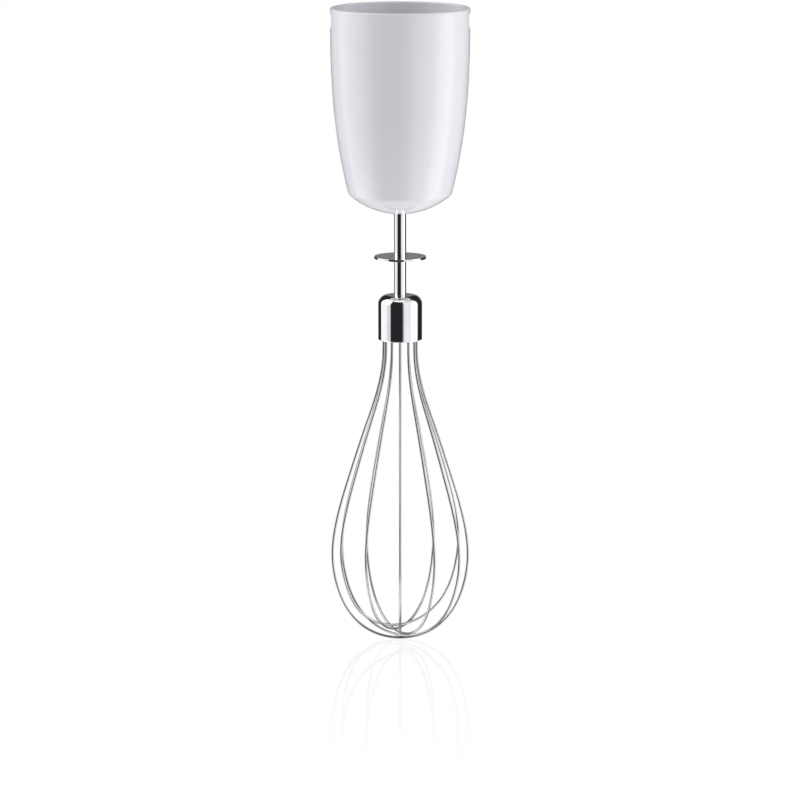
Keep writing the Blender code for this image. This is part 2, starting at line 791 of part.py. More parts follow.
def make_whisk_shaft():
    corners = [
        (0, SHAFT_TOP),
        (SHAFT_R - 0.5, SHAFT_TOP),
        (SHAFT_R, SHAFT_TOP - 0.5),
        (SHAFT_R, CLIP_Z + 1.0),
        (SHAFT_DETENT_R, CLIP_Z + 0.6),
        (SHAFT_DETENT_R, CLIP_Z - 0.6),
        (SHAFT_R, CLIP_Z - 1.0),
        (SHAFT_R, SHAFT_BOTTOM),
        (0, SHAFT_BOTTOM),
    ]
    shaft = turned("whisk_shaft", corners, 24, "chrome", ring=False)
    flat_depth = 2.0
    size = (10, flat_depth, 20)
    middle_y = SHAFT_HALF_FLAT + flat_depth / 2
    middle_z = SHAFT_FLATS_BOTTOM + size[2] / 2
    combine(shaft, "DIFFERENCE", boxes("shaft_flats", [(0, side * middle_y, middle_z) for side in (-1, 1)], size))
    combine(shaft, "DIFFERENCE", crosswise_cylinder("shaft_pin_hole", HUB_PIN_R + 0.15, 2 * SHAFT_R, HUB_PIN_Z))
    return shaft


def make_release_disc():
    bore_r = SHAFT_R + PRESSED
    corners = [
        (bore_r, DISC_TOP),
        (DISC_R, DISC_TOP, 0.25),
        (DISC_R, DISC_BOTTOM, 0.25),
        (bore_r, DISC_BOTTOM),
    ]
    return turned("release_disc", corners, 36, "chrome")


def make_ferrule():
    bore_r = SHAFT_R + PRESSED
    inner_r = FERRULE_R - FERRULE_WALL
    corners = [
        (bore_r, FERRULE_TOP),
        (FERRULE_R, FERRULE_TOP, FERRULE_FILLET),
        (FERRULE_R, FERRULE_BOTTOM, 0.35),
        (inner_r, FERRULE_BOTTOM),
        (inner_r, FERRULE_TOP - FERRULE_WALL, FERRULE_FILLET - FERRULE_WALL),
        (bore_r, FERRULE_TOP - FERRULE_WALL),
    ]
    return turned("ferrule", corners, 32, "chrome")


def make_wire_hub():
    bore_r = SHAFT_R + PRESSED
    corners = [
        (bore_r, HUB_TOP),
        (HUB_R, HUB_TOP, HUB_FILLET),
        (HUB_R, HUB_BOTTOM),
        (bore_r, HUB_BOTTOM),
    ]
    hub = turned("wire_hub", corners, 24, "black_plastic")
    places = on_circle(WIRE_CIRCLE_R, even_angles(2 * LOOP_COUNT))
    combine(hub, "DIFFERENCE", cylinders("wire_holes", places, WIRE_HOLE_R, WIRE_HOLE_TOP, HUB_BOTTOM - 1, 8))
    combine(hub, "DIFFERENCE", crosswise_cylinder("hub_pin_hole", HUB_PIN_R + 0.3, 2 * HUB_R, HUB_PIN_Z))
    return hub


def spline_through(points, steps):
    """Points on the natural cubic spline through points, with steps stretches between each two of them."""
    points = np.array(points, float)
    chord = np.linalg.norm(np.diff(points, axis=0), axis=1)
    size = len(points)
    system = np.eye(size)
    wanted = np.zeros_like(points)
    for i in range(1, size - 1):
        before, after = chord[i - 1], chord[i]
        system[i, i - 1 : i + 2] = before, 2 * (before + after), after
        wanted[i] = 6 * ((points[i + 1] - points[i]) / after - (points[i] - points[i - 1]) / before)
    bend = np.linalg.solve(system, wanted)
    made = [points[0]]
    for i, h in enumerate(chord):
        for k in range(1, steps + 1):
            left = h * k / steps
            right = h - left
            curve = (bend[i] * right**3 + bend[i + 1] * left**3) / (6 * h)
            curve += (points[i] / h - bend[i] * h / 6) * right
            curve += (points[i + 1] / h - bend[i + 1] * h / 6) * left
            made.append(curve)
    return made


def loop_path(index, steps=2):
    """A wire loop's centre line: down one leg, across the axis and up the other leg."""
    profile = LOOP_PROFILE + [(-r, z) for r, z in reversed(LOOP_PROFILE[:-1])]
    largest = FERRULE_BOTTOM - LOOP_PROFILE[-1][1]
    squeeze = (largest - index * LOOP_PITCH) / largest
    direction = -index * math.pi / LOOP_COUNT
    points = [(WIRE_CIRCLE_R, WIRE_TOP)]
    for r, z in spline_through(profile, steps):
        points.append((r, FERRULE_BOTTOM + (z - FERRULE_BOTTOM) * squeeze))
    points.append((-WIRE_CIRCLE_R, WIRE_TOP))
    return [(r * math.cos(direction), r * math.sin(direction), z) for r, z in points]


def make_wire_loops():
    return [wire(f"wire_loop_{k + 1}", loop_path(k), WIRE_R, "chrome") for k in range(LOOP_COUNT)]


def hang_on_empty(name, objects, at=(0.0, 0.0, 0.0), parent=None):
    """Parents objects to an empty on their joint's axis, and leaves them where they are."""
    empty = bpy.data.objects.new(name, None)
    bpy.data.collections[PARTS].objects.link(empty)
    empty.location = at
    bpy.context.view_layer.update()
    if parent:
        empty.parent = parent
        empty.matrix_parent_inverse = parent.matrix_world.inverted()
    bpy.context.view_layer.update()
    for obj in objects:
        obj.parent = empty
        obj.matrix_parent_inverse = empty.matrix_world.inverted()
    return empty


def build():
    case_parts = [
        make_outer_case(),
        make_gearbox_housing(),
        make_gearbox_cover(),
        make_o_ring(),
        *make_cover_screws(),
        make_ring_gear(),
        tube("input_bush", INPUT_BUSH_R, INPUT_R + FIT, COVER_TOP - GAP, COVER_BOSS_BOTTOM + GAP, 24, "bronze"),
        make_output_bush(),
        make_shaft_seal(),
    ]
    input_parts = [make_drive_coupling(), make_input_shaft(), make_input_circlip(), make_sun_gear()]
    washer = tube("thrust_washer", WASHER_R, SPINDLE_R + SEATED, WASHER_TOP, WASHER_BOTTOM, 24, "acetal")
    output_parts = [make_planet_carrier(), make_output_spindle(), washer, *make_planet_pins()]
    output_parts.append(make_retaining_clip())
    whisk_parts = [make_whisk_shaft(), make_release_disc(), make_ferrule(), make_wire_hub()]
    whisk_parts.append(crosswise_cylinder("hub_pin", HUB_PIN_R, HUB_PIN_HALF_LENGTH, HUB_PIN_Z, "steel"))
    whisk_parts += make_wire_loops()

    case_frame = hang_on_empty("gear_case_frame", case_parts)
    hang_on_empty("input_axis", input_parts, parent=case_frame)
    output_axis = hang_on_empty("output_axis", output_parts, parent=case_frame)
    hang_on_empty("whisk_axis", whisk_parts, parent=output_axis)
    for index, gear in enumerate(make_planet_gears(), 1):
        hang_on_empty(f"planet_axis_{index}", [gear], gear.location.copy(), output_axis)


clear_scene()
collection(PARTS)
collection(CUTTERS)
MATERIALS = materials()
build()
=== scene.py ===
"""Looks of the whisk attachment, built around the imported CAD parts.

The visible pieces are turned and drawn again with fine surfaces on the CAD's own sizes, and every piece
gets a procedural finish. Sizes are in millimetres, apart from the stage's, and MM turns them into metres.
+Z is up, and the origin is the centre of the socket's mouth.
"""

import math

import bmesh
import bpy
import numpy as np
from mathutils import Matrix, Vector


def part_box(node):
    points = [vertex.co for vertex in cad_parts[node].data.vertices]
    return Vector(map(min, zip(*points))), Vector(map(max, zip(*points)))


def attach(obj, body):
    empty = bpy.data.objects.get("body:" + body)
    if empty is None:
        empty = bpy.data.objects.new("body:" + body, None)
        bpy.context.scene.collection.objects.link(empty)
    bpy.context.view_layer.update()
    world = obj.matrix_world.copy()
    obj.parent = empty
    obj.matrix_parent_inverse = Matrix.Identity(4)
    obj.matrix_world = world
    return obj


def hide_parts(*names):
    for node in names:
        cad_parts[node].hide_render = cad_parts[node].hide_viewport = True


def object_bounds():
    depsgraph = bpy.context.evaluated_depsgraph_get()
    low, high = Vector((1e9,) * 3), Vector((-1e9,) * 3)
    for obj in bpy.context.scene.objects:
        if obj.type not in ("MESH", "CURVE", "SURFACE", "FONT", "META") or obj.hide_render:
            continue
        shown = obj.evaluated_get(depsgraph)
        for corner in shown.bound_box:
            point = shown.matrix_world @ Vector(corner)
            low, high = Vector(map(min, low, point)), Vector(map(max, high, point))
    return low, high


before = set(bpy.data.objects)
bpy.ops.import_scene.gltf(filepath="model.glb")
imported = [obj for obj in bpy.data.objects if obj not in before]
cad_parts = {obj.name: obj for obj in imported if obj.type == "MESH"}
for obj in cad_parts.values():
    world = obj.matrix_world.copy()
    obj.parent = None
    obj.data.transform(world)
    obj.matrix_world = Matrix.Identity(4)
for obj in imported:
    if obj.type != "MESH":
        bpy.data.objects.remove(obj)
CAD_BOX = [list(corner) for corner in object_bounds()]

MM = 0.001

# Fineness of the drawn surfaces
TURN_STEPS = 192
SMALL_TURN_STEPS = 96
HOLE_STEPS = 24
ARC_STEP = math.radians(12)
ARC_GUARD = 0.08  # of a fillet's radius
SHARP_ANGLE = math.radians(35)
MERGE_DISTANCE = 1e-7
SMALL_FILLET = 0.3

# Part of a noise's range that is stretched over a roughness range, and over a colour ramp
NOISE_RANGE = (0.3, 0.7)
RAMP_RANGE = (0.35, 0.65)

# Gear case, as in the CAD: the wall draws in from the rim, and a dome closes it
CASE_RIM_R = 28.8
CASE_TAPER = 7.1
CASE_TAPER_DEPTH = 75.4
CASE_TAPER_POWER = 2.7
CASE_WALL = 2.5
CASE_RIM_FILLET = 0.7
CASE_INNER_FILLET = 0.4
CASE_CORNER_FILLET = 2.0
CORNER_SEARCH_STEPS = 20
WALL_STEPS = 44
INNER_WALL_STEPS = 30
DOME_R = 32.0
DOME_CENTRE_Z = -53.17
DOME_HOLE_R = 3.3
DOME_STEPS = 14
INNER_DOME_STEPS = 6
SPIGOT_DOME_STEPS = 3
HOLE_FILLET = 0.5
SPIGOT_R = 9.0
SPIGOT_WALL = 1.5
SPIGOT_TOP = -77.5
BOSS_COUNT = 3
BOSS_CIRCLE_R = 22.1
BOSS_R = 2.2
BOSS_TOP = -47.8
BOSS_BOTTOM = -76.0
BOSS_INSET = 0.8
BOSS_CUTS = 14
PILOT_CIRCLE_R = 21.7
PILOT_R = 1.25
PILOT_DEPTH = 12.2
CUTTER_OVERLAP = 1

# Room that the points down the wall and along the dome leave for the fillets between them
RIM_GAP = 1.0
CORNER_GAP = 1.5
CORNER_STEP_IN = 1.2
HOLE_STEP_OUT = 1.0
INNER_HOLE_STEP_OUT = 1.5

# Latch windows: rounded openings near the rim, one on each side, flared at the outside. Each section of
# the flare has its place along X, and how far its outline has grown.
WINDOW_CENTRE_Z = -5.25
WINDOW_HEIGHT = 5.5
WINDOW_WIDTH = 11.0
WINDOW_CORNER_R = 2.6
WINDOW_CORNER_STEPS = 8
WINDOW_CHAMFER = 0.55
WINDOW_EDGE_R = CASE_RIM_R - 0.53
WINDOW_SECTIONS = [
    (CASE_RIM_R - 6, 0.0),
    (WINDOW_EDGE_R - WINDOW_CHAMFER, 0.0),
    (WINDOW_EDGE_R - WINDOW_CHAMFER * 0.45, WINDOW_CHAMFER * 0.15),
    (WINDOW_EDGE_R - WINDOW_CHAMFER * 0.1, WINDOW_CHAMFER * 0.5),
    (CASE_RIM_R + 0.6, WINDOW_CHAMFER * 2.2),
]

# Whisk: a rod with a groove for the clip and two flats at its top
SHAFT_R = 2.5
SHAFT_TOP_FILLET = 0.5
CLIP_Z = -80.0
SHAFT_DETENT_R = 2.2
DETENT_HALF_MOUTH = 1.0
DETENT_HALF_FLOOR = 0.6
DETENT_MOUTH_FILLET = 0.6
DETENT_FLOOR_FILLET = 0.15
SHAFT_FLATS_BOTTOM = -71.8
SHAFT_HALF_FLAT = 2.0
FLAT_CUTTER_SIZE = (10, 2, 20)
DISC_FILLET = 0.08
DISC_BORE_R = 2.55
FERRULE_WALL = 0.7
FERRULE_FILLET = 3.6
FERRULE_EDGE = 0.35
FERRULE_INNER_EDGE = 0.2
FERRULE_BORE_FILLET = 0.15
FERRULE_BORE_R = 2.55
FERRULE_BOTTOM = -138.0

# Wire loops: at the bottom each passes LOOP_PITCH above the one before. The profile is one leg's centre
# line, as radius and height, from the ferrule to the axis.
WIRE_R = 0.525
WIRE_TOP = -126.0
WIRE_CIRCLE_R = 6.85
LOOP_COUNT = 6
LOOP_PITCH = 1.13
LOOP_PROFILE = [
    (WIRE_CIRCLE_R, FERRULE_BOTTOM),
    (7.05, -146.5),
    (9.6, -160.2),
    (14.15, -174.0),
    (20.8, -194.4),
    (26.6, -215.0),
    (28.4, -228.7),
    (26.7, -242.5),
    (20.0, -256.4),
    (11.0, -263.3),
    (0.0, -265.6),
]
LOOP_STEPS = 12
WIRE_BEVEL_RESOLUTION = 5

# Stage, in metres and degrees: a clear floor on white, with an oval of faint gloss that reaches forward
# from the object's foot, and a low white card bent round behind the object, which the gloss reflects
STAGE_REACH = 6.0
BACKDROP_SUBDIVISIONS = 3
FLOOR_GLOSS = 0.11
FLOOR_ROUGHNESS = 0.03
GLOSS_CENTRE_Y = -0.05
GLOSS_REACH_X = 0.1
GLOSS_REACH_Y = 0.18
CARD_R = 0.11
CARD_HEIGHT = 0.09
CARD_FULL_ANGLE = 65
CARD_END_ANGLE = 90
CARD_STEP_ANGLE = 5

# Light: each soft box has a brightness, and the azimuths and elevations in degrees at which it starts, is
# full, begins to fade and ends. Azimuth 0 is the camera's side and 90 is its right.
LIGHT_COLOUR = (1.0, 0.985, 1.055)
STUDIO_DARK = 0.022
ALL_ROUND = (-270, -260, 260, 270)
TALL = (-60, -50, 45, 62)
MIDDLE = (-62, -50, 15, 35)
HIGH = (4, 14, 45, 62)
LOW = (-60, -50, -30, -18)
SOFT_BOXES = [
    (0.79, (-121, -118, -54, -50), TALL),
    (0.34, (-121, -118, -88, -58), TALL),
    (1.80, (-121, -116, -70, -55), HIGH),
    (1.20, (-121, -116, -70, -55), LOW),
    (1.00, (10, 26, 102, 109), TALL),
    (1.45, (58, 70, 92, 101), MIDDLE),
    (0.60, (-60, -45, 30, 50), (52, 60, 68, 78)),
    (0.90, ALL_ROUND, (52, 64, 100, 110)),
    (0.52, ALL_ROUND, (-110, -100, -32, -20)),
    (0.20, (-260, -250, -155, -145), (2, 4, 12, 14)),
    (0.20, (145, 155, 250, 260), (2, 4, 12, 14)),
]

# Camera: a long lens, above the rim and tilted down, so that it looks into the socket's mouth
CAMERA_ASIDE = -0.06
CAMERA_DISTANCE = 1673.5
CAMERA_HEIGHT = 153.1
CAMERA_PITCH = math.radians(10.72)
CAMERA_LENS = 183.7
CAMERA_SENSOR = 36.0
CAMERA_CLIP = (0.05, 30.0)


# ---------------------------------------------------------------- materials


class Finish:
    """A Principled material with procedural variation in the object's own coordinates."""

    def __init__(self, name, colour, roughness, metallic=0.0, **sockets):
        self.material = bpy.data.materials.new(name)
        self.material.use_nodes = True
        self.tree = self.material.node_tree
        self.shader = self.tree.nodes["Principled BSDF"]
        self.shader.inputs["Base Color"].default_value = (*colour, 1.0)
        self.shader.inputs["Roughness"].default_value = roughness
        self.shader.inputs["Metallic"].default_value = metallic
        for socket, value in sockets.items():
            self.shader.inputs[socket.replace("_", " ")].default_value = value
        self.place = self.tree.nodes.new("ShaderNodeTexCoord").outputs["Object"]

    def stretched(self, scale):
        """The object's coordinates scaled along each axis, for grain that runs one way."""
        mapping = self.tree.nodes.new("ShaderNodeMapping")
        mapping.inputs["Scale"].default_value = scale
        self.tree.links.new(self.place, mapping.inputs["Vector"])
        return mapping.outputs["Vector"]

    def noise(self, scale, detail=3.0, stretch=None):
        node = self.tree.nodes.new("ShaderNodeTexNoise")
        node.inputs["Scale"].default_value = scale
        node.inputs["Detail"].default_value = detail
        self.tree.links.new(self.stretched(stretch) if stretch else self.place, node.inputs["Vector"])
        return node.outputs["Fac"]

    def remapped(self, value, low, high):
        node = self.tree.nodes.new("ShaderNodeMapRange")
        node.inputs["From Min"].default_value = NOISE_RANGE[0]
        node.inputs["From Max"].default_value = NOISE_RANGE[1]
        node.inputs["To Min"].default_value = low
        node.inputs["To Max"].default_value = high
        self.tree.links.new(value, node.inputs["Value"])
        return node.outputs["Result"]

    def vary_roughness(self, low, high, scale, detail=3.0, stretch=None):
        value = self.remapped(self.noise(scale, detail, stretch), low, high)
        self.tree.links.new(value, self.shader.inputs["Roughness"])
        return self

    def vary_colour(self, first, second, scale, detail=3.0, stretch=None):
        ramp = self.tree.nodes.new("ShaderNodeValToRGB")
        for element, position, colour in zip(ramp.color_ramp.elements, RAMP_RANGE, (first, second)):
            element.position = position
            element.color = (*colour, 1.0)
        self.tree.links.new(self.noise(scale, detail, stretch), ramp.inputs["Fac"])
        self.tree.links.new(ramp.outputs["Color"], self.shader.inputs["Base Color"])
        return self

    def add_bump(self, scale, height, detail=2.0, stretch=None):
        """Relief of that height in millimetres."""
        bump = self.tree.nodes.new("ShaderNodeBump")
        bump.inputs["Distance"].default_value = height * MM
        self.tree.links.new(self.noise(scale, detail, stretch), bump.inputs["Height"])
        previous = self.shader.inputs["Normal"].links
        if previous:
            self.tree.links.new(previous[0].from_socket, bump.inputs["Normal"])
        self.tree.links.new(bump.outputs["Normal"], self.shader.inputs["Normal"])
        return self


def white_plastic():
    """Glossy moulded ABS: nearly even white, with the faint ripple of a moulded surface."""
    sockets = {"IOR": 1.42, "Sheen_Weight": 0.5, "Sheen_Roughness": 0.25}
    finish = Finish("white_plastic", (0.84, 0.84, 0.84), 0.05, **sockets)
    finish.vary_colour((0.835, 0.835, 0.835), (0.845, 0.845, 0.845), 60.0)
    finish.vary_roughness(0.04, 0.06, 180.0)
    finish.add_bump(220.0, 0.002)
    return finish.material


def satin_plastic(name, dark, light):
    """Moulded plastic from a spark-eroded tool: a fine even grain."""
    finish = Finish(name, light, 0.45)
    finish.vary_colour(dark, light, 400.0, 2.0)
    finish.vary_roughness(0.4, 0.5, 1500.0)
    finish.add_bump(2600.0, 0.008, 2.0)
    return finish.material


def gear_plastic():
    """Natural acetal with a thin, uneven film of grease."""
    finish = Finish("gear_acetal", (0.8, 0.79, 0.74), 0.3, Subsurface_Weight=0.1, Coat_Weight=0.4)
    finish.vary_colour((0.74, 0.72, 0.64), (0.83, 0.82, 0.78), 250.0, 4.0)
    finish.vary_roughness(0.18, 0.4, 400.0)
    finish.add_bump(700.0, 0.01)
    return finish.material


def rubber():
    """Moulded black rubber: dull, with a fine even grain."""
    finish = Finish("seal_rubber", (0.03, 0.03, 0.03), 0.65)
    finish.vary_colour((0.022, 0.022, 0.022), (0.045, 0.045, 0.045), 700.0)
    finish.vary_roughness(0.55, 0.75, 1200.0)
    finish.add_bump(3000.0, 0.01)
    return finish.material


def sintered_bronze():
    """Pressed powder bronze: speckled with pores that hold oil."""
    finish = Finish("sintered_bronze", (0.55, 0.38, 0.2), 0.4, 1.0)
    finish.vary_colour((0.36, 0.24, 0.12), (0.62, 0.44, 0.25), 2600.0, 5.0)
    finish.vary_roughness(0.3, 0.55, 2000.0)
    finish.add_bump(3500.0, 0.03, 4.0)
    return finish.material


def turned_steel():
    """Machined steel: fine rings left by the lathe along the axis."""
    finish = Finish("turned_steel", (0.5, 0.5, 0.51), 0.3, 1.0)
    finish.vary_colour((0.44, 0.44, 0.45), (0.56, 0.56, 0.57), 500.0, 3.0, (0.15, 0.15, 6.0))
    finish.vary_roughness(0.22, 0.38, 900.0, 3.0, (0.1, 0.1, 5.0))
    finish.add_bump(1500.0, 0.006, 3.0, (0.05, 0.05, 5.0))
    return finish.material


def polished_chrome():
    """Buffed chrome: a mirror with faint haze and hairlines round the axis."""
    finish = Finish("polished_chrome", (0.81, 0.81, 0.8), 0.04, 1.0)
    finish.vary_colour((0.79, 0.79, 0.78), (0.84, 0.84, 0.83), 120.0)
    finish.vary_roughness(0.025, 0.06, 350.0, 4.0, (0.3, 0.3, 3.0))
    finish.add_bump(900.0, 0.0006, 3.0, (0.1, 0.1, 4.0))
    return finish.material


def drawn_wire():
    """Stainless spring wire, polished after drawing, with lengthwise hairlines."""
    finish = Finish("drawn_wire", (0.43, 0.43, 0.426), 0.13, 1.0)
    finish.vary_colour((0.4, 0.4, 0.396), (0.46, 0.46, 0.456), 300.0, 3.0, (3.0, 3.0, 0.4))
    finish.vary_roughness(0.1, 0.15, 600.0, 3.0, (3.0, 3.0, 0.3))
    finish.add_bump(2500.0, 0.0005, 3.0, (3.0, 3.0, 0.2))
    return finish.material


def emission(name, brightness):
    """A white surface that gives off light."""
    material = bpy.data.materials.new(name)
    material.use_nodes = True
    tree = material.node_tree
    tree.nodes.remove(tree.nodes["Principled BSDF"])
    light = tree.nodes.new("ShaderNodeEmission")
    light.inputs["Color"].default_value = (1.0, 1.0, 1.0, 1.0)
    light.inputs["Strength"].default_value = brightness
    tree.links.new(light.outputs["Emission"], tree.nodes["Material Output"].inputs["Surface"])
    return material


# ---------------------------------------------------------------- shapes


def rounded(corners):
    """The profile through corners (radius, height), where a third number rounds its corner that much.

    A point just outside each end of an arc keeps the flats beside it flat when they are shaded smooth.
    """
    points = []
    for index, corner in enumerate(corners):
        here = Vector(corner[:2])
        if len(corner) == 2:
            points.append(here)
            continue
        before = (Vector(corners[index - 1][:2]) - here).normalized()
        after = (Vector(corners[(index + 1) % len(corners)][:2]) - here).normalized()
        half = before.angle(after) / 2
        centre = here + (before + after).normalized() * (corner[2] / math.sin(half))
        reach = corner[2] / math.tan(half)
        start, end = here + before * reach - centre, here + after * reach - centre
        turn = math.atan2(start.x * end.y - start.y * end.x, start.dot(end))
        steps = max(3, math.ceil(abs(turn) / ARC_STEP))
        points.append(here + before * (reach + ARC_GUARD * corner[2]))
        points += [centre + Matrix.Rotation(turn * k / steps, 2) @ start for k in range(steps + 1)]
        points.append(here + after * (reach + ARC_GUARD * corner[2]))
    return points


def turned(name, corners, steps=TURN_STEPS, ring=True):
    """A mesh object turned about Z. A ring's profile is closed; another starts and ends on the axis."""
    points = rounded(corners)
    shape = bmesh.new()
    verts = [shape.verts.new((p.x * MM, 0, p.y * MM)) for p in points]
    edges = [shape.edges.new(pair) for pair in zip(verts, verts[1:])]
    if ring:
        edges.append(shape.edges.new((verts[-1], verts[0])))
    bmesh.ops.spin(
        shape, geom=verts + edges, cent=(0, 0, 0), axis=(0, 0, 1), dvec=(0, 0, 0), angle=2 * math.pi,
        steps=steps, use_merge=False, use_duplicate=False,
    )
    bmesh.ops.remove_doubles(shape, verts=shape.verts, dist=MERGE_DISTANCE)
    bmesh.ops.recalc_face_normals(shape, faces=shape.faces)
    return object_from(name, shape)


def object_from(name, shape):
    """The bmesh as a smooth-shaded object, with its sharp edges kept sharp."""
    mesh = bpy.data.meshes.new(name)
    shape.to_mesh(mesh)
    shape.free()
    mesh.shade_smooth()
    mesh.set_sharp_from_angle(angle=SHARP_ANGLE)
    obj = bpy.data.objects.new(name, mesh)
    bpy.context.scene.collection.objects.link(obj)
    return obj


def cut(obj, tool, operation="DIFFERENCE"):
    """Applies a Boolean of obj with tool, and removes tool."""
    boolean = obj.modifiers.new(tool.name, "BOOLEAN")
    boolean.operation = operation
    boolean.object = tool
    boolean.solver = "EXACT"
    graph = bpy.context.evaluated_depsgraph_get()
    mesh = bpy.data.meshes.new_from_object(obj.evaluated_get(graph))
    obj.modifiers.clear()
    old = obj.data
    obj.data = mesh
    bpy.data.meshes.remove(old)
    bpy.data.objects.remove(tool, do_unlink=True)
    mesh.shade_smooth()
    mesh.set_sharp_from_angle(angle=SHARP_ANGLE)


def cylinder(name, radius, top, bottom, x, y):
    """An upright cylinder: a boss, or the cutter of a hole."""
    middle = (x * MM, y * MM, (top + bottom) / 2 * MM)
    shape = bmesh.new()
    bmesh.ops.create_cone(
        shape, cap_ends=True, segments=HOLE_STEPS, radius1=radius * MM, radius2=radius * MM,
        depth=(top - bottom) * MM, matrix=Matrix.Translation(middle),
    )
    return object_from(name, shape)


def rounded_rectangle(width, height, radius, steps):
    """Outline points (across, up) of a rectangle with round corners."""
    points = []
    for quarter, (side, up) in enumerate([(1, 1), (-1, 1), (-1, -1), (1, -1)]):
        centre = Vector((side * (width / 2 - radius), up * (height / 2 - radius)))
        for k in range(steps + 1):
            angle = (quarter + k / steps) * math.pi / 2
            points.append(centre + radius * Vector((math.cos(angle), math.sin(angle))))
    return points


def window_cutter(side):
    """A rounded bar along X through one side of the wall, flared where it meets the outside."""
    shape = bmesh.new()
    rings = []
    for x, grow in WINDOW_SECTIONS:
        width, height = WINDOW_WIDTH + 2 * grow, WINDOW_HEIGHT + 2 * grow
        outline = rounded_rectangle(width, height, WINDOW_CORNER_R + grow, WINDOW_CORNER_STEPS)
        places = [(side * x * MM, p.x * MM, (p.y + WINDOW_CENTRE_Z) * MM) for p in outline]
        rings.append([shape.verts.new(place) for place in places])
    for low, high in zip(rings, rings[1:]):
        for k in range(len(low)):
            after = (k + 1) % len(low)
            shape.faces.new((low[k], low[after], high[after], high[k]))
    shape.faces.new(rings[0])
    shape.faces.new(rings[-1])
    bmesh.ops.remove_doubles(shape, verts=shape.verts, dist=MERGE_DISTANCE)
    bmesh.ops.recalc_face_normals(shape, faces=shape.faces)
    return object_from("window_cutter", shape)


def even_angles(count):
    return [2 * math.pi * k / count for k in range(count)]


# ---------------------------------------------------------------- gear case


def case_radius(z):
    return CASE_RIM_R - CASE_TAPER * (-z / CASE_TAPER_DEPTH) ** CASE_TAPER_POWER


def dome_height(radius, inset=0.0):
    return DOME_CENTRE_Z - math.sqrt((DOME_R - inset) ** 2 - radius**2)


def case_corner(inset=0.0):
    """Where the wall meets the dome, on the surface that lies inset inside the outer one."""
    z = -CASE_TAPER_DEPTH
    for _ in range(CORNER_SEARCH_STEPS):
        z = dome_height(case_radius(z) - inset, inset)
    return case_radius(z) - inset, z


def case_wall(inset, steps):
    """Points down the wall, from just under the rim to just above the corner."""
    top = -RIM_GAP
    bottom = case_corner(inset)[1] + CORNER_GAP
    heights = [top + (bottom - top) * k / steps for k in range(steps + 1)]
    return [(case_radius(z) - inset, z) for z in heights]


def case_dome(inset, from_r, to_r, steps):
    radii = [from_r + (to_r - from_r) * k / steps for k in range(steps + 1)]
    return [(r, dome_height(r, inset)) for r in radii]


def screw_boss(x, y):
    """A boss on the dome's inside whose outer side is pressed in to stay within the wall."""
    boss = cylinder("boss", BOSS_R, BOSS_TOP, BOSS_BOTTOM, x, y)
    shape = bmesh.new()
    shape.from_mesh(boss.data)
    upright = [e for e in shape.edges if abs(e.verts[0].co.z - e.verts[1].co.z) > MM]
    bmesh.ops.subdivide_edges(shape, edges=upright, cuts=BOSS_CUTS, use_grid_fill=False)
    for vert in shape.verts:
        r, z = vert.co.xy.length / MM, vert.co.z / MM
        limit = case_radius(z) - BOSS_INSET
        if r > limit:
            vert.co.xy *= limit / r
        vert.co.z = max(vert.co.z, dome_height(min(r, limit), BOSS_INSET) * MM)
    shape.to_mesh(boss.data)
    shape.free()
    return boss


def make_case(finish):
    """The shell, turned from its outline, with its screw bosses, pilot holes and latch windows."""
    corner_r = case_corner()[0]
    inner_corner_r = case_corner(CASE_WALL)[0]
    spigot_outer_r = SPIGOT_R + SPIGOT_WALL
    outside = [(CASE_RIM_R, 0, CASE_RIM_FILLET)] + case_wall(0, WALL_STEPS)
    outside += [(*case_corner(), CASE_CORNER_FILLET)]
    outside += case_dome(0, corner_r - CORNER_STEP_IN, DOME_HOLE_R + HOLE_STEP_OUT, DOME_STEPS)
    outside += [(DOME_HOLE_R, dome_height(DOME_HOLE_R), HOLE_FILLET)]
    inside = [(DOME_HOLE_R, dome_height(DOME_HOLE_R, CASE_WALL), SMALL_FILLET)]
    inside += case_dome(CASE_WALL, DOME_HOLE_R + INNER_HOLE_STEP_OUT, SPIGOT_R, SPIGOT_DOME_STEPS)
    inside += [(SPIGOT_R, SPIGOT_TOP, SMALL_FILLET), (spigot_outer_r, SPIGOT_TOP, SMALL_FILLET)]
    inside += case_dome(CASE_WALL, spigot_outer_r, inner_corner_r, INNER_DOME_STEPS)
    inside += list(reversed(case_wall(CASE_WALL, INNER_WALL_STEPS)))
    inside += [(CASE_RIM_R - CASE_WALL, 0, CASE_INNER_FILLET)]
    case = turned("case_shell", outside + inside)
    for angle in even_angles(BOSS_COUNT):
        across, along = math.cos(angle), math.sin(angle)
        cut(case, screw_boss(BOSS_CIRCLE_R * across, BOSS_CIRCLE_R * along), "UNION")
        x, y = PILOT_CIRCLE_R * across, PILOT_CIRCLE_R * along
        cut(case, cylinder("pilot", PILOT_R, BOSS_TOP + CUTTER_OVERLAP, BOSS_TOP - PILOT_DEPTH, x, y))
    for side in (-1, 1):
        cut(case, window_cutter(side))
    return dress(case, finish, "gear_case", "outer_case")


# ---------------------------------------------------------------- whisk


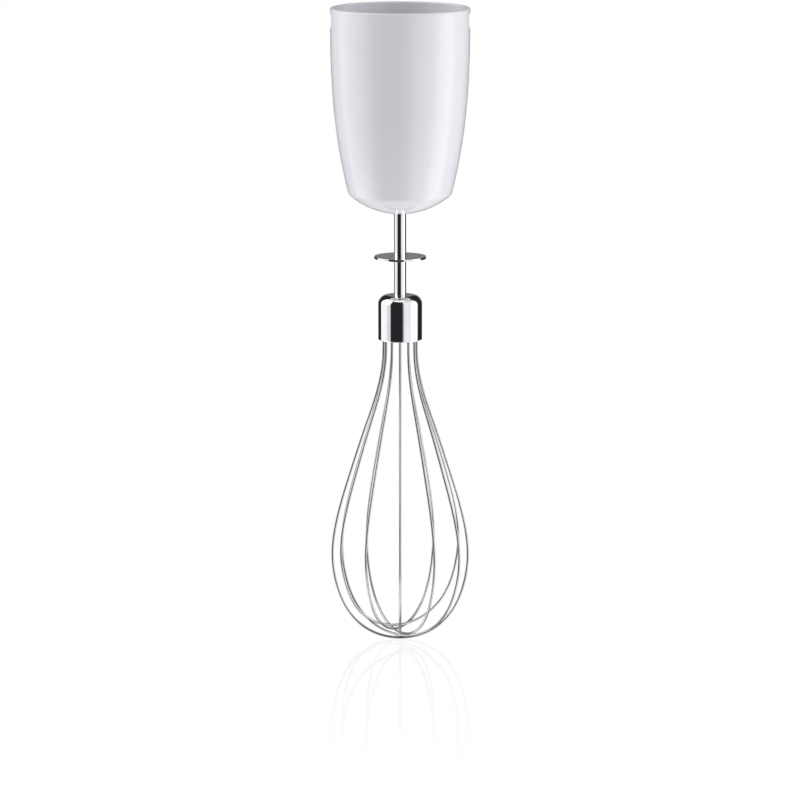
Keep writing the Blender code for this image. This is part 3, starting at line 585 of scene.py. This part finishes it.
def make_shaft(finish):
    low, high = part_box("whisk_shaft")
    top, bottom = high.z / MM, low.z / MM
    corners = [
        (0, top),
        (SHAFT_R, top, SHAFT_TOP_FILLET),
        (SHAFT_R, CLIP_Z + DETENT_HALF_MOUTH, DETENT_MOUTH_FILLET),
        (SHAFT_DETENT_R, CLIP_Z + DETENT_HALF_FLOOR, DETENT_FLOOR_FILLET),
        (SHAFT_DETENT_R, CLIP_Z - DETENT_HALF_FLOOR, DETENT_FLOOR_FILLET),
        (SHAFT_R, CLIP_Z - DETENT_HALF_MOUTH, DETENT_MOUTH_FILLET),
        (SHAFT_R, bottom, SMALL_FILLET),
        (0, bottom),
    ]
    shaft = turned("shaft_rod", corners, SMALL_TURN_STEPS, ring=False)
    width, depth, height = FLAT_CUTTER_SIZE
    size = Matrix.Diagonal((width * MM, depth * MM, height * MM, 1))
    for side in (-1, 1):
        middle = (0, side * (SHAFT_HALF_FLAT + depth / 2) * MM, (SHAFT_FLATS_BOTTOM + height / 2) * MM)
        shape = bmesh.new()
        bmesh.ops.create_cube(shape, size=1, matrix=Matrix.Translation(middle) @ size)
        cut(shaft, object_from("flat_cutter", shape))
    return dress(shaft, finish, "whisk", "whisk_shaft")


def make_disc(finish):
    low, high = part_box("release_disc")
    top, bottom, radius = high.z / MM, low.z / MM, high.x / MM
    corners = [
        (DISC_BORE_R, top),
        (radius, top, DISC_FILLET),
        (radius, bottom, DISC_FILLET),
        (DISC_BORE_R, bottom),
    ]
    return dress(turned("disc_plate", corners), finish, "whisk", "release_disc")


def make_ferrule(finish):
    low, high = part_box("ferrule")
    top, bottom, radius = high.z / MM, low.z / MM, high.x / MM
    inner_r = radius - FERRULE_WALL
    corners = [
        (FERRULE_BORE_R, top, FERRULE_BORE_FILLET),
        (radius, top, FERRULE_FILLET),
        (radius, bottom, FERRULE_EDGE),
        (inner_r, bottom, FERRULE_INNER_EDGE),
        (inner_r, top - FERRULE_WALL, FERRULE_FILLET - FERRULE_WALL),
        (FERRULE_BORE_R, top - FERRULE_WALL),
    ]
    return dress(turned("ferrule_cap", corners), finish, "whisk", "ferrule")


def spline_through(points, steps):
    """Points on the natural cubic spline through points, with steps stretches between each two."""
    points = np.array(points, float)
    chord = np.linalg.norm(np.diff(points, axis=0), axis=1)
    size = len(points)
    system = np.eye(size)
    wanted = np.zeros_like(points)
    for i in range(1, size - 1):
        before, after = chord[i - 1], chord[i]
        system[i, i - 1 : i + 2] = before, 2 * (before + after), after
        wanted[i] = 6 * ((points[i + 1] - points[i]) / after - (points[i] - points[i - 1]) / before)
    bend = np.linalg.solve(system, wanted)
    made = [points[0]]
    for i, h in enumerate(chord):
        for k in range(1, steps + 1):
            left = h * k / steps
            right = h - left
            curve = (bend[i] * right**3 + bend[i + 1] * left**3) / (6 * h)
            curve += (points[i] / h - bend[i] * h / 6) * right
            curve += (points[i + 1] / h - bend[i + 1] * h / 6) * left
            made.append(curve)
    return made


def loop_path(index):
    """A wire loop's centre line: down one leg, across the axis and up the other leg."""
    profile = LOOP_PROFILE + [(-r, z) for r, z in reversed(LOOP_PROFILE[:-1])]
    largest = FERRULE_BOTTOM - LOOP_PROFILE[-1][1]
    squeeze = (largest - index * LOOP_PITCH) / largest
    direction = -index * math.pi / LOOP_COUNT
    points = [(WIRE_CIRCLE_R, WIRE_TOP)]
    for r, z in spline_through(profile, LOOP_STEPS):
        points.append((r, FERRULE_BOTTOM + (z - FERRULE_BOTTOM) * squeeze))
    points.append((-WIRE_CIRCLE_R, WIRE_TOP))
    return [(r * math.cos(direction), r * math.sin(direction), z) for r, z in points]


def make_loop(index, finish):
    """A wire loop drawn as a round-bevelled curve along its centre line."""
    name = f"loop_wire_{index + 1}"
    curve = bpy.data.curves.new(name, "CURVE")
    curve.dimensions = "3D"
    curve.bevel_depth = WIRE_R * MM
    curve.bevel_resolution = WIRE_BEVEL_RESOLUTION
    curve.use_fill_caps = True
    points = loop_path(index)
    spline = curve.splines.new("POLY")
    spline.points.add(len(points) - 1)
    for point, place in zip(spline.points, points):
        point.co = (*(Vector(place) * MM), 1)
    spline.use_smooth = True
    loop = bpy.data.objects.new(name, curve)
    bpy.context.scene.collection.objects.link(loop)
    return dress(loop, finish, "whisk", f"wire_loop_{index + 1}")


# ---------------------------------------------------------------- dressing


def dress(piece, finish, body, node):
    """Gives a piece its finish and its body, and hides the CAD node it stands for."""
    piece.data.materials.clear()
    piece.data.materials.append(finish)
    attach(piece, body)
    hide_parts(node)
    return piece


def dress_nodes(nodes, finish):
    """Gives the CAD nodes that stay their finish."""
    for node in nodes:
        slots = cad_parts[node].material_slots
        if not slots:
            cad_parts[node].data.materials.append(finish)
        for slot in slots:
            slot.material = finish


# ---------------------------------------------------------------- stage


def see_through(name, shader_type, strength):
    """A clear material with a white shader mixed in, and that shader; strength makes the factor."""
    material = bpy.data.materials.new(name)
    material.use_nodes = True
    tree = material.node_tree
    tree.nodes.remove(tree.nodes["Principled BSDF"])
    clear = tree.nodes.new("ShaderNodeBsdfTransparent")
    shader = tree.nodes.new(shader_type)
    shader.inputs["Color"].default_value = (1.0, 1.0, 1.0, 1.0)
    mix = tree.nodes.new("ShaderNodeMixShader")
    tree.links.new(strength(tree), mix.inputs["Fac"])
    tree.links.new(clear.outputs[0], mix.inputs[1])
    tree.links.new(shader.outputs[0], mix.inputs[2])
    tree.links.new(mix.outputs["Shader"], tree.nodes["Material Output"].inputs["Surface"])
    return material, shader


def floor_gloss(tree):
    """Full in the middle of the oval, and gone at its edge."""
    place = tree.nodes.new("ShaderNodeTexCoord")
    mapping = tree.nodes.new("ShaderNodeMapping")
    mapping.inputs["Location"].default_value = (0, -GLOSS_CENTRE_Y / GLOSS_REACH_Y, 0)
    mapping.inputs["Scale"].default_value = (1 / GLOSS_REACH_X, 1 / GLOSS_REACH_Y, 1.0)
    away = tree.nodes.new("ShaderNodeVectorMath")
    away.operation = "LENGTH"
    tree.links.new(place.outputs["Object"], mapping.inputs["Vector"])
    tree.links.new(mapping.outputs["Vector"], away.inputs[0])
    return smooth_step(tree, away.outputs["Value"], 0.0, 1.0, FLOOR_GLOSS, 0.0)


def card_cover(tree):
    """Full behind the object, and fading round its sides."""
    place = tree.nodes.new("ShaderNodeTexCoord")
    split = tree.nodes.new("ShaderNodeSeparateXYZ")
    tree.links.new(place.outputs["Object"], split.inputs["Vector"])
    angle = maths(tree, "DEGREES", maths(tree, "ARCTAN2", split.outputs["X"], split.outputs["Y"]))
    return smooth_step(tree, maths(tree, "ABSOLUTE", angle), CARD_FULL_ANGLE, CARD_END_ANGLE, 1.0, 0.0)


def smooth_step(tree, value, start, end, low, high):
    """Goes smoothly from low, where value is start, to high, where it is end."""
    node = tree.nodes.new("ShaderNodeMapRange")
    node.interpolation_type = "SMOOTHSTEP"
    node.inputs["From Min"].default_value = start
    node.inputs["From Max"].default_value = end
    node.inputs["To Min"].default_value = low
    node.inputs["To Max"].default_value = high
    tree.links.new(value, node.inputs["Value"])
    return node.outputs["Result"]


def maths(tree, operation, *values):
    """A Math node's result; each value is a number or a socket."""
    node = tree.nodes.new("ShaderNodeMath")
    node.operation = operation
    for socket, value in zip(node.inputs, values):
        if isinstance(value, (int, float)):
            socket.default_value = value
        else:
            tree.links.new(value, socket)
    return node.outputs["Value"]


def seen_by(obj, camera=False, reflections=False):
    """Chooses whether the camera, and reflections and shading, see a piece of the stage."""
    obj.visible_camera = camera
    obj.visible_glossy = reflections
    obj.visible_diffuse = reflections
    obj.visible_transmission = reflections
    obj.visible_shadow = False


def make_floor():
    """A level plane at the object's foot, seen by the camera only."""
    shape = bmesh.new()
    bmesh.ops.create_grid(shape, x_segments=1, y_segments=1, size=STAGE_REACH)
    floor = object_from("floor", shape)
    floor.location.z = CAD_BOX[0][2]
    material, gloss = see_through("glossy_floor", "ShaderNodeBsdfGlossy", floor_gloss)
    gloss.inputs["Roughness"].default_value = FLOOR_ROUGHNESS
    floor.data.materials.append(material)
    seen_by(floor, camera=True)


def make_backdrop():
    """A white shell all round, seen by the camera only."""
    shape = bmesh.new()
    bmesh.ops.create_icosphere(shape, subdivisions=BACKDROP_SUBDIVISIONS, radius=STAGE_REACH)
    backdrop = object_from("backdrop", shape)
    backdrop.data.materials.append(emission("white_backdrop", 1.0))
    seen_by(backdrop, camera=True)


def make_card():
    """A low white card bent round behind the object, seen only in reflections."""
    shape = bmesh.new()
    steps = 2 * CARD_END_ANGLE // CARD_STEP_ANGLE
    columns = []
    for k in range(steps + 1):
        angle = math.radians(CARD_END_ANGLE * (2 * k / steps - 1))
        x, y = CARD_R * math.sin(angle), CARD_R * math.cos(angle)
        columns.append([shape.verts.new((x, y, z)) for z in (0, CARD_HEIGHT)])
    for (a, b), (c, d) in zip(columns, columns[1:]):
        shape.faces.new((a, c, d, b))
    card = object_from("white_card", shape)
    card.location.z = CAD_BOX[0][2]
    card.data.materials.append(see_through("white_card", "ShaderNodeEmission", card_cover)[0])
    seen_by(card, reflections=True)
    card.visible_diffuse = False


def make_world():
    """A dark studio with soft boxes, drawn by direction, so that reflections see them at any distance."""
    world = bpy.data.worlds.new("studio")
    world.use_nodes = True
    tree = world.node_tree
    direction = tree.nodes.new("ShaderNodeSeparateXYZ")
    place = tree.nodes.new("ShaderNodeTexCoord")
    tree.links.new(place.outputs["Generated"], direction.inputs["Vector"])
    x, y, z = direction.outputs
    azimuth = maths(tree, "DEGREES", maths(tree, "ARCTAN2", x, maths(tree, "MULTIPLY", y, -1.0)))
    elevation = maths(tree, "DEGREES", maths(tree, "ARCSINE", z))
    total = STUDIO_DARK
    for brightness, across, up in SOFT_BOXES:
        light = brightness
        for angle, (start, full, fading, end) in ((azimuth, across), (elevation, up)):
            light = maths(tree, "MULTIPLY", light, smooth_step(tree, angle, start, full, 0.0, 1.0))
            light = maths(tree, "MULTIPLY", light, smooth_step(tree, angle, fading, end, 1.0, 0.0))
        total = maths(tree, "ADD", total, light)
    tree.links.new(total, tree.nodes["Background"].inputs["Strength"])
    tree.nodes["Background"].inputs["Color"].default_value = (*LIGHT_COLOUR, 1.0)
    bpy.context.scene.world = world


def make_studio():
    make_world()
    make_floor()
    make_backdrop()
    make_card()


def make_camera():
    camera = bpy.data.objects.new("camera", bpy.data.cameras.new("camera"))
    bpy.context.scene.collection.objects.link(camera)
    camera.location = (CAMERA_ASIDE * MM, -CAMERA_DISTANCE * MM, CAMERA_HEIGHT * MM)
    camera.rotation_euler = (math.pi / 2 - CAMERA_PITCH, 0, 0)
    camera.data.lens = CAMERA_LENS
    camera.data.sensor_width = CAMERA_SENSOR
    camera.data.clip_start, camera.data.clip_end = CAMERA_CLIP
    bpy.context.scene.camera = camera


def main():
    make_camera()
    white = white_plastic()
    grey = satin_plastic("grey_plastic", (0.39, 0.4, 0.42), (0.42, 0.43, 0.45))
    black = satin_plastic("black_plastic", (0.02, 0.02, 0.02), (0.028, 0.028, 0.028))
    steel = turned_steel()
    chrome = polished_chrome()
    wire = drawn_wire()
    acetal = gear_plastic()
    rubber_black = rubber()
    bronze = sintered_bronze()

    make_case(white)
    make_shaft(chrome)
    make_disc(chrome)
    make_ferrule(chrome)
    for index in range(LOOP_COUNT):
        make_loop(index, wire)

    screws = [f"cover_screw_{k}" for k in (1, 2, 3)]
    pins = [f"planet_pin_{k}" for k in (1, 2, 3)]
    planets = [f"planet_gear_{k}" for k in (1, 2, 3)]
    dress_nodes(["gearbox_cover", "gearbox_housing"], grey)
    dress_nodes(["drive_coupling", "wire_hub"], black)
    dress_nodes(["cover_o_ring", "shaft_seal"], rubber_black)
    dress_nodes(["input_bush", "output_bush"], bronze)
    dress_nodes(["ring_gear", "thrust_washer", *planets], acetal)
    dress_nodes(["input_shaft", "input_circlip", "sun_gear", "planet_carrier", "output_spindle"], steel)
    dress_nodes(["retaining_clip", "hub_pin", *screws, *pins], steel)

    make_studio()
    bpy.context.scene.view_settings.view_transform = "Standard"


main()
bpy.context.view_layer.update()
